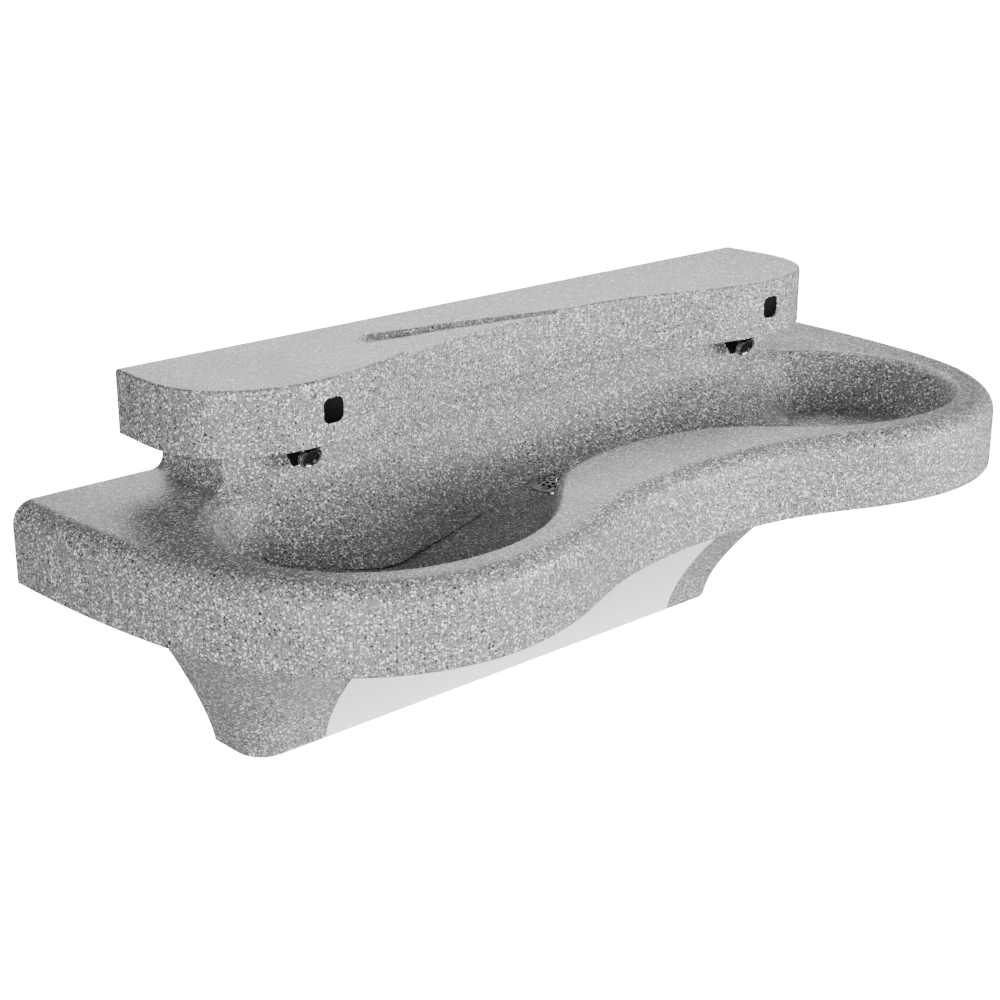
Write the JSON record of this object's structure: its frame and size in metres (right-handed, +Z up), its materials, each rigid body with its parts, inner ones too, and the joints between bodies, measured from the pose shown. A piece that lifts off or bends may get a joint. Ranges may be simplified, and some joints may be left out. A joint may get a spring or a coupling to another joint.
{
  "type": "hand sink",
  "caption": "Wall-hung hand sink: cast basin with a waved front, a shelf with sensor windows and spray heads, and a flared trap cover with a lift-off access panel.",
  "frame": {"origin": "on the wall, midway along the sink and level with the foot of the bowl's apron", "axes": "+X along the wall towards the sink's right end as its user sees it, +Y into the wall, +Z up"},
  "size_m": [1.219, 0.502, 0.459],
  "materials": {
    "cast_stone": "satin",
    "window_black": "gloss",
    "head_black": "satin",
    "case_grey": "satin",
    "board_green": "satin",
    "chrome_plate": "polished",
    "disc_grey": "satin",
    "panel_steel": "satin",
    "zinc_steel": "satin",
    "bracket_paint": "matte",
    "valve_brass": "satin",
    "coil_black": "satin",
    "plunger_steel": "satin",
    "gasket_rubber": "matte",
    "cable_rubber": "matte",
    "tube_white": "satin"
  },
  "bodies": {
    "sink": {"battery_pack": "case_grey", "bowl": "cast_stone", "bowl_bolts": "zinc_steel", "cable_grommet": "head_black", "cap_screws": "zinc_steel", "cold_riser": "tube_white", "cold_stop_body": "chrome_plate", "cold_stop_flange": "chrome_plate", "control_board": "board_green", "control_box": "case_grey", "control_lid": "case_grey", "drain_body": "chrome_plate", "drain_gasket": "gasket_rubber", "drain_nut": "valve_brass", "end_cap_left": "cast_stone", "end_cap_right": "cast_stone", "hot_riser": "tube_white", "hot_stop_body": "chrome_plate", "hot_stop_flange": "chrome_plate", "manifold": "valve_brass", "mixing_valve": "valve_brass", "plate_screws": "zinc_steel", "sensor_cable_left": "cable_rubber", "sensor_cable_right": "cable_rubber", "sensor_left": "case_grey", "sensor_right": "case_grey", "sensor_window_left": "window_black", "sensor_window_right": "window_black", "shelf": "cast_stone", "shelf_screws": "zinc_steel", "slip_nuts": "chrome_plate", "spray_disc_left": "disc_grey", "spray_disc_right": "disc_grey", "spray_housing_left": "head_black", "spray_housing_right": "head_black", "spray_nozzle_left": "chrome_plate", "spray_nozzle_right": "chrome_plate", "strainer": "chrome_plate", "strainer_bridge": "chrome_plate", "strainer_screw": "chrome_plate", "tailpiece": "chrome_plate", "trap_arm": "chrome_plate", "trap_bend": "chrome_plate", "trap_flange": "chrome_plate", "under_plate": "panel_steel", "valve_body_left": "valve_brass", "valve_body_right": "valve_brass", "valve_coil_left": "coil_black", "valve_coil_right": "coil_black", "wall_bracket_left": "bracket_paint", "wall_bracket_right": "bracket_paint", "water_tube_left": "tube_white", "water_tube_right": "tube_white"},
    "access_panel": {"access_panel": "panel_steel", "panel_screws": "zinc_steel"},
    "hot_stop_handle": {"hot_stop_handle": "coil_black"},
    "cold_stop_handle": {"cold_stop_handle": "coil_black"},
    "mixing_knob": {"mixing_knob": "coil_black"},
    "valve_plunger_left": {"valve_plunger_left": "plunger_steel"},
    "valve_plunger_right": {"valve_plunger_right": "plunger_steel"}
  },
  "joints": [
    {"name": "panel_slide", "type": "slide", "parent": "sink", "child": "access_panel", "axis": [0, -1, 0], "range_m": [0, 0.35]},
    {"name": "hot_stop_turn", "type": "hinge", "parent": "sink", "child": "hot_stop_handle", "pos_m": [-0.15, -0.08, -0.2], "axis": [0, 1, 0], "range_deg": [0, 90]},
    {"name": "cold_stop_turn", "type": "hinge", "parent": "sink", "child": "cold_stop_handle", "pos_m": [-0.08, -0.08, -0.2], "axis": [0, 1, 0], "range_deg": [0, 90]},
    {"name": "mixing_knob_turn", "type": "hinge", "parent": "sink", "child": "mixing_knob", "pos_m": [-0.115, -0.09, -0.12], "axis": [0, 1, 0], "range_deg": [0, 270]},
    {"name": "plunger_slide_left", "type": "slide", "parent": "sink", "child": "valve_plunger_left", "axis": [0, -1, 0], "range_m": [0, 0.0025], "stiffness_N_per_m": 100, "springref_m": -0.005},
    {"name": "plunger_slide_right", "type": "slide", "parent": "sink", "child": "valve_plunger_right", "axis": [0, -1, 0], "range_m": [0, 0.0025], "stiffness_N_per_m": 100, "springref_m": -0.005}
  ]
}
